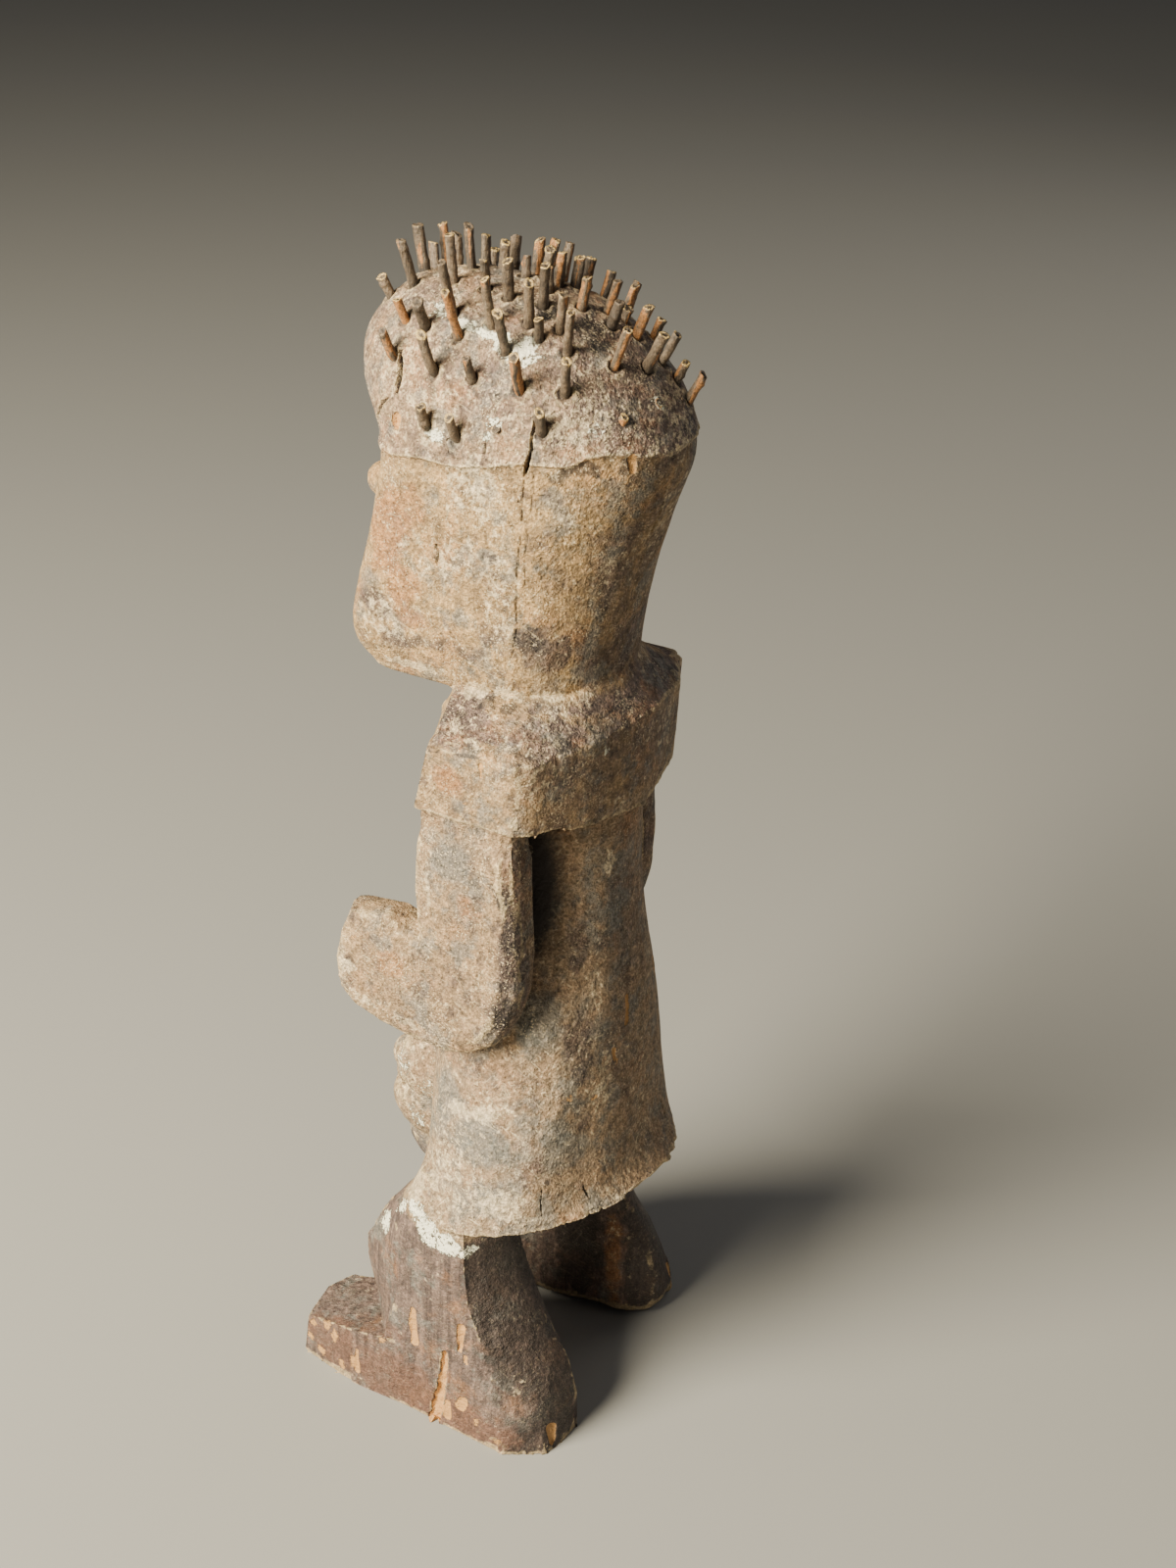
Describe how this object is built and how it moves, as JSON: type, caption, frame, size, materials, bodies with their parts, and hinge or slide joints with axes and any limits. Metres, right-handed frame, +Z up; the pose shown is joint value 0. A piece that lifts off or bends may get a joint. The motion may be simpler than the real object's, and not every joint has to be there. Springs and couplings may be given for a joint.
{
  "type": "carved wooden ancestor figure",
  "caption": "Standing figure carved from one block of wood, with a swollen crown set with short sticks, a square shoulder slab, bent arms, a flared trunk and thick legs.",
  "frame": {"origin": "on the ground, under the middle of the whole figure's box", "axes": "+Z up; the figure faces -Y and its left side is +X"},
  "size_m": [0.1234, 0.1242, 0.4324],
  "materials": {
    "carved_wood": "dry, dusty brown wood with worn tan edges and traces of white chalk",
    "stick_wood": "grey-brown bark, peeled in places, with pale broken tips"
  },
  "bodies": {
    "root": {"figure": "carved_wood", "stick_01": "stick_wood", "stick_02": "stick_wood", "stick_03": "stick_wood", "stick_04": "stick_wood", "stick_05": "stick_wood", "stick_06": "stick_wood", "stick_07": "stick_wood", "stick_08": "stick_wood", "stick_09": "stick_wood", "stick_10": "stick_wood", "stick_11": "stick_wood", "stick_12": "stick_wood", "stick_13": "stick_wood", "stick_14": "stick_wood", "stick_15": "stick_wood", "stick_16": "stick_wood", "stick_17": "stick_wood", "stick_18": "stick_wood", "stick_19": "stick_wood", "stick_20": "stick_wood", "stick_21": "stick_wood", "stick_22": "stick_wood", "stick_23": "stick_wood", "stick_24": "stick_wood", "stick_25": "stick_wood", "stick_26": "stick_wood", "stick_27": "stick_wood", "stick_28": "stick_wood", "stick_29": "stick_wood", "stick_30": "stick_wood", "stick_31": "stick_wood", "stick_32": "stick_wood", "stick_33": "stick_wood", "stick_34": "stick_wood", "stick_35": "stick_wood", "stick_36": "stick_wood", "stick_37": "stick_wood", "stick_38": "stick_wood", "stick_39": "stick_wood", "stick_40": "stick_wood", "stick_41": "stick_wood", "stick_42": "stick_wood", "stick_43": "stick_wood", "stick_44": "stick_wood", "stick_45": "stick_wood", "stick_46": "stick_wood", "stick_47": "stick_wood", "stick_48": "stick_wood", "stick_49": "stick_wood", "stick_50": "stick_wood", "stick_51": "stick_wood", "stick_52": "stick_wood", "stick_53": "stick_wood", "stick_54": "stick_wood", "stick_55": "stick_wood", "stick_56": "stick_wood", "stick_57": "stick_wood", "stick_58": "stick_wood", "stick_59": "stick_wood"}
  },
  "joints": []
}
